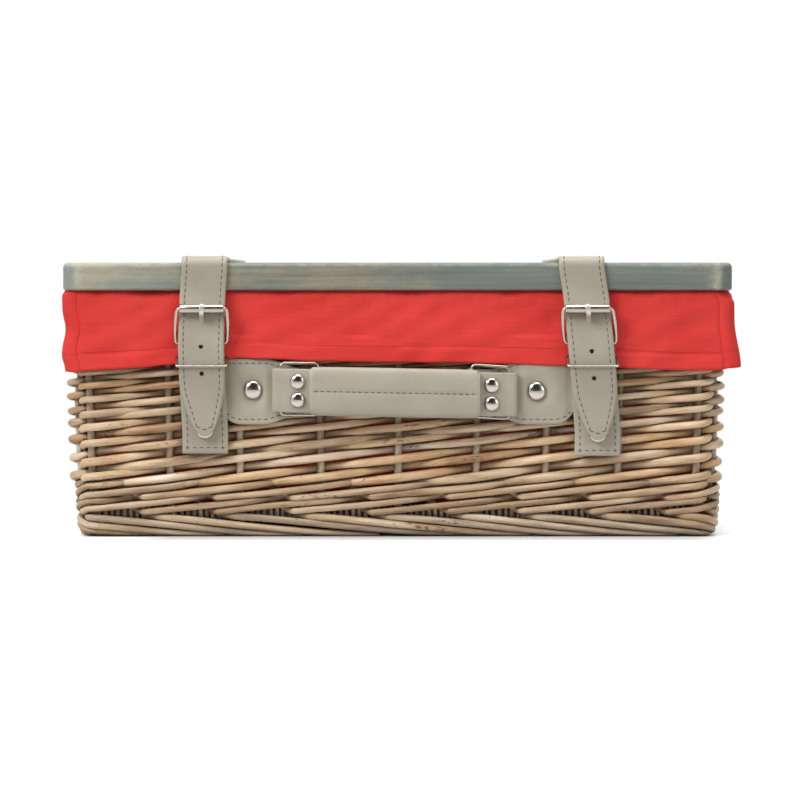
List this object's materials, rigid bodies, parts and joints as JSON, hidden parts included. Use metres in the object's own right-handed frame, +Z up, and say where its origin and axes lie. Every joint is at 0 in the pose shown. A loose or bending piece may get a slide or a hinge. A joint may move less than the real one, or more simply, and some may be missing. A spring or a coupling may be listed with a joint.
{
  "type": "wicker hamper",
  "caption": "Rectangular woven willow hamper with a wooden lid on leather hinge straps, buckled leather closing straps, a leather front handle and a cloth lining folded over the rim.",
  "frame": {"origin": "on the floor, under the middle of the whole object", "axes": "+Z up, front with the handle and buckles towards -Y, the long side along X"},
  "size_m": [0.4138, 0.3168, 0.1725],
  "materials": {
    "willow": "honey willow rods with a dull sheen",
    "stake_willow": "greyish willow stakes",
    "washed_wood": "grey-green washed board with beige patches",
    "leather": "greige leather with dark stitching",
    "cotton": "red plain-weave cotton",
    "chrome": "polished metal"
  },
  "bodies": {
    "hamper": {"woven_base": "willow", "foot_border": "willow", "bottom_wale": "willow", "side_weave": "willow", "rim_border": "willow", "front_stakes": "stake_willow", "right_stakes": "stake_willow", "back_stakes": "stake_willow", "left_stakes": "stake_willow", "lining": "cotton", "left_buckle_strap": "leather", "right_buckle_strap": "leather", "left_hinge_strap": "leather", "right_hinge_strap": "leather", "left_buckle_strap_rivet": "chrome", "right_buckle_strap_rivet": "chrome", "left_tab_rivet": "chrome", "right_tab_rivet": "chrome", "left_hinge_strap_rivet": "chrome", "right_hinge_strap_rivet": "chrome", "left_handle_tab": "leather", "right_handle_tab": "leather"},
    "lid": {"lid_board": "washed_wood", "left_lid_strap": "leather", "left_lid_strap_rivet_1": "chrome", "left_lid_strap_rivet_2": "chrome", "right_lid_strap": "leather", "right_lid_strap_rivet_1": "chrome", "right_lid_strap_rivet_2": "chrome"},
    "left_tongue": {"left_strap_tongue": "leather"},
    "right_tongue": {"right_strap_tongue": "leather"},
    "left_buckle": {"left_buckle_frame": "chrome"},
    "right_buckle": {"right_buckle_frame": "chrome"},
    "left_roller": {"left_buckle_roller": "chrome"},
    "right_roller": {"right_buckle_roller": "chrome"},
    "left_prong": {"left_buckle_prong": "chrome"},
    "right_prong": {"right_buckle_prong": "chrome"},
    "left_keeper": {"left_strap_keeper": "chrome"},
    "right_keeper": {"right_strap_keeper": "chrome"},
    "handle": {"handle_strap": "leather", "handle_grip": "leather", "left_handle_rivet_upper": "chrome", "left_handle_rivet_lower": "chrome", "right_handle_rivet_upper": "chrome", "right_handle_rivet_lower": "chrome"},
    "left_ring": {"left_handle_ring": "chrome"},
    "right_ring": {"right_handle_ring": "chrome"}
  },
  "joints": [
    {"name": "lid_hinge", "type": "hinge", "parent": "hamper", "child": "lid", "pos_m": [0, 0.1569, 0.1516], "axis": [-1, 0, 0], "range_deg": [0, 105], "deforming": ["left_hinge_strap", "right_hinge_strap"]},
    {"name": "left_tongue_lift", "type": "hinge", "parent": "lid", "child": "left_tongue", "pos_m": [-0.119, -0.1423, 0.1658], "axis": [-1, 0, 0], "range_deg": [0, 110], "deforming": ["left_strap_tongue"]},
    {"name": "right_tongue_lift", "type": "hinge", "parent": "lid", "child": "right_tongue", "pos_m": [0.1126, -0.1423, 0.1658], "axis": [-1, 0, 0], "range_deg": [0, 110], "deforming": ["right_strap_tongue"]},
    {"name": "left_buckle_swing", "type": "hinge", "parent": "hamper", "child": "left_buckle", "pos_m": [-0.119, -0.1464, 0.1191], "axis": [1, 0, 0], "range_deg": [0, 60]},
    {"name": "right_buckle_swing", "type": "hinge", "parent": "hamper", "child": "right_buckle", "pos_m": [0.116, -0.1464, 0.1191], "axis": [1, 0, 0], "range_deg": [0, 60]},
    {"name": "left_roller_spin", "type": "hinge", "parent": "left_buckle", "child": "left_roller", "pos_m": [-0.119, -0.1533, 0.1401], "axis": [1, 0, 0], "continuous": true},
    {"name": "right_roller_spin", "type": "hinge", "parent": "right_buckle", "child": "right_roller", "pos_m": [0.1145, -0.1533, 0.1401], "axis": [1, 0, 0], "continuous": true},
    {"name": "left_prong_swing", "type": "hinge", "parent": "left_buckle", "child": "left_prong", "pos_m": [-0.119, -0.1464, 0.1191], "axis": [1, 0, 0], "range_deg": [0, 45]},
    {"name": "right_prong_swing", "type": "hinge", "parent": "right_buckle", "child": "right_prong", "pos_m": [0.116, -0.1464, 0.1191], "axis": [1, 0, 0], "range_deg": [0, 45]},
    {"name": "left_keeper_slide", "type": "slide", "parent": "hamper", "child": "left_keeper", "axis": [0, -0.1483, 0.9889], "range_m": [-0.008, 0.0015]},
    {"name": "right_keeper_slide", "type": "slide", "parent": "hamper", "child": "right_keeper", "axis": [-0.0724, -0.1479, 0.9863], "range_m": [-0.008, 0.0015]},
    {"name": "handle_pull", "type": "slide", "parent": "hamper", "child": "handle", "axis": [0, -1, 0], "range_m": [0, 0.012]},
    {"name": "left_ring_swing", "type": "hinge", "parent": "hamper", "child": "left_ring", "pos_m": [-0.0485, -0.14222, 0.09], "axis": [0, 0, 1], "range_deg": [0, 32.5]},
    {"name": "right_ring_swing", "type": "hinge", "parent": "hamper", "child": "right_ring", "pos_m": [0.0451, -0.14222, 0.09], "axis": [0, 0, -1], "range_deg": [0, 32.5]}
  ],
  "couplings": [
    {"joint": "left_ring_swing", "follows": "handle_pull", "rad_per_m": 47.15},
    {"joint": "right_ring_swing", "follows": "handle_pull", "rad_per_m": 47.15}
  ]
}
